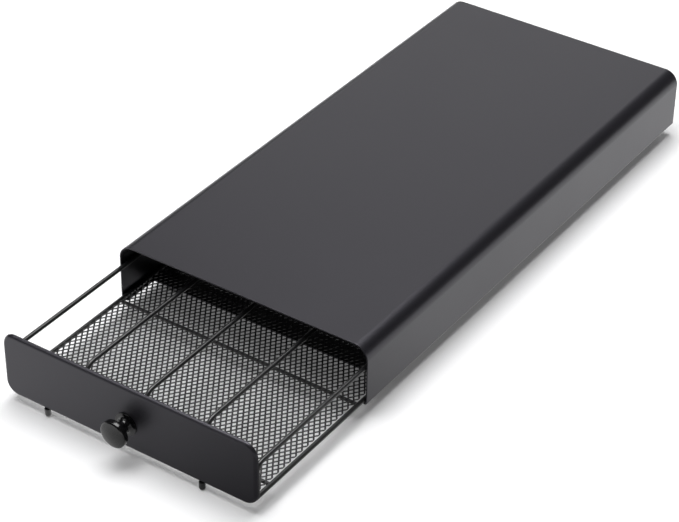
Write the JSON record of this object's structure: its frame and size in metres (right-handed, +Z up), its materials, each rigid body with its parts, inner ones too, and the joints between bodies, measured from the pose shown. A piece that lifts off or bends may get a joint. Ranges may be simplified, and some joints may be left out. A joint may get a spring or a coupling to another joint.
{
  "type": "coffee pod drawer",
  "caption": "Low black steel cover with a sliding wire-rack drawer for coffee capsules, a plate front and a round knob.",
  "frame": {"origin": "on the floor, in the middle of the whole object's box, with the drawer pulled out as pictured", "axes": "+X to the right seen from the front, +Y from the knob towards the back, +Z up"},
  "size_m": [0.188, 0.5174, 0.0505],
  "materials": {
    "cover_powder_coat": "fine matte black powder coat on sheet steel",
    "strap_powder_coat": "matte black powder coat on sheet steel",
    "panel_powder_coat": "fine matte black powder coat on steel plate",
    "knob_gloss_enamel": "glossy black enamel on turned metal",
    "screw_zinc": "zinc plated steel",
    "wire_enamel": "satin black enamel on steel wire",
    "mesh_enamel": "satin black enamel on expanded steel",
    "foot_rubber": "matte black rubber"
  },
  "bodies": {
    "cover": {"cover_shell": "cover_powder_coat", "rear_panel": "cover_powder_coat", "front_strap": "strap_powder_coat", "rear_foot_tab_left": "strap_powder_coat", "rear_foot_tab_right": "strap_powder_coat", "foot_front_left": "foot_rubber", "foot_front_right": "foot_rubber", "foot_rear_left": "foot_rubber", "foot_rear_right": "foot_rubber"},
    "drawer": {"front_panel": "panel_powder_coat", "knob": "knob_gloss_enamel", "knob_washer": "screw_zinc", "knob_screw": "screw_zinc", "base_front_wire": "wire_enamel", "base_rear_wire": "wire_enamel", "base_side_wire_left": "wire_enamel", "base_side_wire_right": "wire_enamel", "cross_wire_1": "wire_enamel", "cross_wire_2": "wire_enamel", "cross_wire_3": "wire_enamel", "cross_wire_4": "wire_enamel", "cross_wire_5": "wire_enamel", "base_mesh": "mesh_enamel", "rail_left": "wire_enamel", "rail_right": "wire_enamel", "divider_1": "wire_enamel", "divider_2": "wire_enamel", "divider_3": "wire_enamel", "foot_pin_left": "wire_enamel", "foot_pin_right": "wire_enamel", "catch_left": "wire_enamel", "catch_right": "wire_enamel"}
  },
  "joints": [
    {"name": "drawer_slide", "type": "slide", "parent": "cover", "child": "drawer", "axis": [0, -1, 0], "range_m": [-0.108, 0.2115]}
  ]
}
